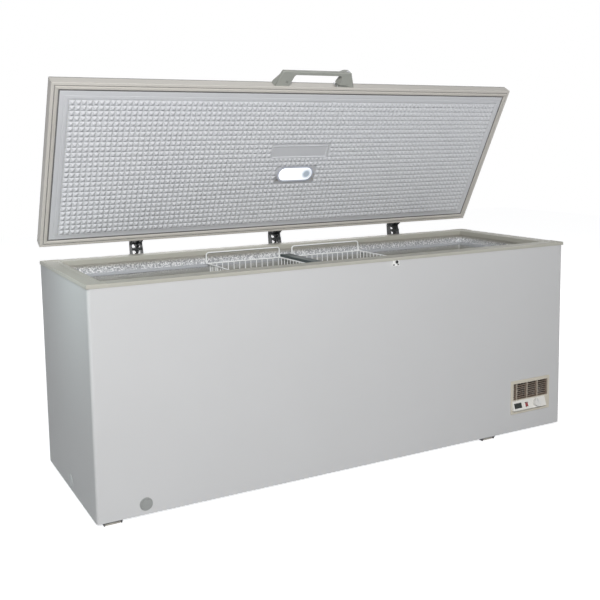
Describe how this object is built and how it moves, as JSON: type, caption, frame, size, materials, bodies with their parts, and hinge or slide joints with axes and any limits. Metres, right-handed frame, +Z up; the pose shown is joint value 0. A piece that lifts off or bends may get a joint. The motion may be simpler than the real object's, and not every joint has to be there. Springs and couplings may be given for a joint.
{
  "type": "chest freezer",
  "caption": "Long chest freezer with an insulated lid on three sprung hinges, an embossed lid liner with a lamp, two wire baskets, and a louvred control unit on a machine bay.",
  "frame": {"origin": "on the floor, at the middle of the whole outline seen from above", "axes": "+X to the right seen from the front, +Y towards the hinges at the back, +Z up"},
  "size_m": [2.03, 0.7602, 1.5274],
  "materials": {
    "white_enamel": "gloss",
    "galvanised_sheet": "satin",
    "stucco_aluminium": "satin",
    "evaporator_tube": "satin",
    "insulation_foam": "matte",
    "rim_plastic": "satin",
    "liner_plastic": "satin",
    "grey_moulding": "satin",
    "brace_paint": "satin",
    "zinc_plate": "satin",
    "spring_steel": "satin",
    "roller_nylon": "satin",
    "unit_plastic": "satin",
    "cream_plastic": "gloss",
    "display_glass": "gloss",
    "black_plastic": "satin",
    "red_plastic": "gloss",
    "knob_plastic": "satin",
    "copper_tube": "satin",
    "motor_alloy": "satin",
    "seal_rubber": "matte",
    "black_enamel": "gloss",
    "lamp_plastic": "gloss",
    "lamp_diffuser": "gloss",
    "bulb_glass": "gloss",
    "handle_plastic": "satin",
    "lock_chrome": "polished",
    "basket_coating": "gloss"
  },
  "bodies": {
    "cabinet": {"front_panel": "white_enamel", "side_panel_left": "white_enamel", "side_panel_right": "white_enamel", "back_panel": "galvanised_sheet", "base_pan": "galvanised_sheet", "inner_liner": "stucco_aluminium", "evaporator_coil": "evaporator_tube", "drain_tube": "grey_moulding", "cabinet_foam": "insulation_foam", "rim_rails": "rim_plastic", "rim_corners": "rim_plastic", "cross_brace": "brace_paint", "drain_ring": "grey_moulding", "side_cap": "grey_moulding", "lock_keeper": "rim_plastic", "foot_brackets": "zinc_plate", "roller_axles": "zinc_plate", "grille_panel": "unit_plastic", "control_box": "cream_plastic", "display_window": "display_glass", "rocker_housing": "black_plastic", "thermostat_body": "black_plastic", "condenser_coil": "copper_tube", "condenser_frame": "galvanised_sheet", "fan_shroud": "galvanised_sheet", "fan_motor": "motor_alloy", "compressor_rail": "galvanised_sheet", "compressor_grommets": "seal_rubber", "compressor": "black_enamel", "terminal_box": "black_plastic", "refrigerant_pipes": "copper_tube", "filter_drier": "copper_tube", "rear_cover": "galvanised_sheet", "cable_gland": "black_plastic", "cabinet_screws": "zinc_plate", "hinge_channels": "zinc_plate", "hinge_pins": "zinc_plate", "hinge_springs": "spring_steel"},
    "lid": {"lid_rails": "rim_plastic", "lid_skin": "white_enamel", "lid_foam": "insulation_foam", "lid_liner": "liner_plastic", "lid_gasket": "seal_rubber", "lamp_housing": "lamp_plastic", "lamp_lens": "lamp_diffuser", "lamp_bulb": "bulb_glass", "lid_handle": "handle_plastic", "hinge_leaves": "zinc_plate", "lid_screws": "zinc_plate"},
    "lock": {"lock_barrel": "lock_chrome", "lock_hook": "lock_chrome"},
    "plungers": {"hinge_plungers": "black_plastic"},
    "drain_plug": {"drain_cap": "grey_moulding"},
    "knob": {"thermostat_knob": "knob_plastic"},
    "rocker": {"power_rocker": "red_plastic"},
    "fan": {"fan_blade_wheel": "motor_alloy"},
    "left_basket": {"basket_left": "basket_coating"},
    "right_basket": {"basket_right": "basket_coating"},
    "front_rollers": {"rollers_front": "roller_nylon"},
    "rear_rollers": {"rollers_rear": "roller_nylon"}
  },
  "joints": [
    {"name": "lid_hinge", "type": "hinge", "parent": "cabinet", "child": "lid", "pos_m": [0, 0.36611, 0.843], "axis": [-1, 0, 0], "range_deg": [-61.5, 16], "stiffness_Nm_per_rad": 46, "springref_deg": 74.48},
    {"name": "plunger_slide", "type": "slide", "parent": "cabinet", "child": "plungers", "axis": [0, 0, 1], "range_m": [-0.0162, 0.0043], "deforming": ["hinge_springs"]},
    {"name": "lock_turn", "type": "hinge", "parent": "lid", "child": "lock", "pos_m": [0.156, 0.00134, 1.4813], "axis": [0, -0.4772, 0.8788], "range_deg": [0, 95]},
    {"name": "drain_cap_pull", "type": "slide", "parent": "cabinet", "child": "drain_plug", "axis": [0, -1, 0], "range_m": [0, 0.03]},
    {"name": "thermostat_turn", "type": "hinge", "parent": "cabinet", "child": "knob", "pos_m": [0.864, -0.36089, 0.13175], "axis": [0, -0.9499, 0.3126], "range_deg": [-150, 150]},
    {"name": "power_switch", "type": "hinge", "parent": "cabinet", "child": "rocker", "pos_m": [0.8105, -0.35899, 0.13112], "axis": [1, 0, 0], "range_deg": [-8, 0]},
    {"name": "fan_spin", "type": "hinge", "parent": "cabinet", "child": "fan", "pos_m": [0.77, -0.24189, 0.142], "axis": [0, 1, 0], "continuous": true},
    {"name": "left_basket_slide", "type": "slide", "parent": "cabinet", "child": "left_basket", "axis": [1, 0, 0], "range_m": [-0.574, 0.004]},
    {"name": "right_basket_slide", "type": "slide", "parent": "cabinet", "child": "right_basket", "axis": [1, 0, 0], "range_m": [-0.004, 0.57]},
    {"name": "front_rollers_roll", "type": "hinge", "parent": "cabinet", "child": "front_rollers", "pos_m": [0, -0.32489, 0.0075], "axis": [1, 0, 0], "continuous": true},
    {"name": "rear_rollers_roll", "type": "hinge", "parent": "cabinet", "child": "rear_rollers", "pos_m": [0, 0.30711, 0.0075], "axis": [1, 0, 0], "continuous": true}
  ],
  "couplings": [
    {"joint": "plunger_slide", "follows": "lid_hinge", "m_per_rad": 0.015}
  ]
}
